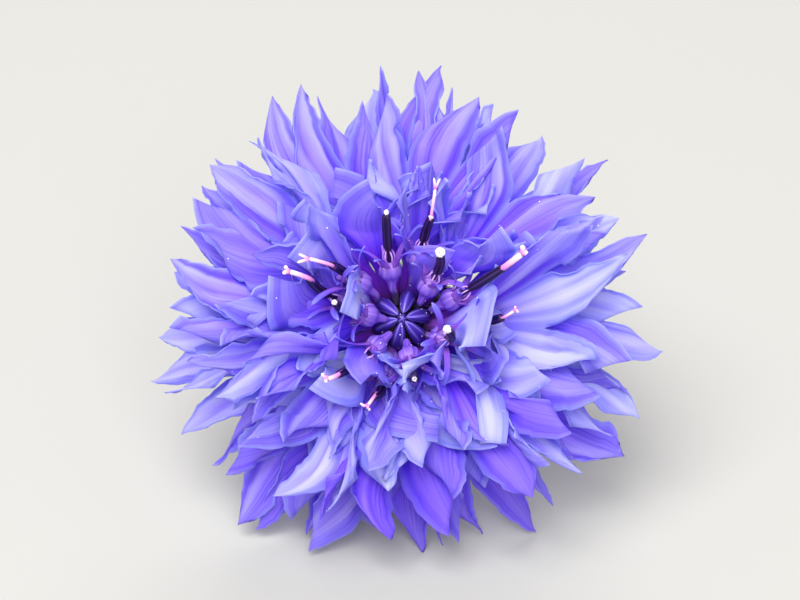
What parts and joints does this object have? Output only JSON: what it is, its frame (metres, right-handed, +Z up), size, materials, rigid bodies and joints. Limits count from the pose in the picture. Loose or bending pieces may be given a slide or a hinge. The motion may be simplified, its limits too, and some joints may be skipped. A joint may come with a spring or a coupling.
{
  "type": "cornflower",
  "caption": "Cut double cornflower laid down: blue trumpet ray florets round violet disc florets, scaly green egg below, short bent stem.",
  "frame": {"origin": "on the surface that the flower lies on, below the middle of its box", "axes": "+Z up, -Y the way the face of the flower looks (38 degrees above level), +Y along the stem to its cut end, +X to the right seen from the front"},
  "size_m": [0.0462, 0.0694, 0.0365],
  "materials": {
    "ray_petal": "soft, thin and slightly translucent",
    "disc_floret": "satin",
    "bract_green": "matte, slightly downy",
    "stem_green": "matte, downy"
  },
  "bodies": {
    "root": {"ray_florets": "ray_petal", "disc_florets": "disc_floret", "involucre": "bract_green", "stem": "stem_green"}
  },
  "joints": []
}
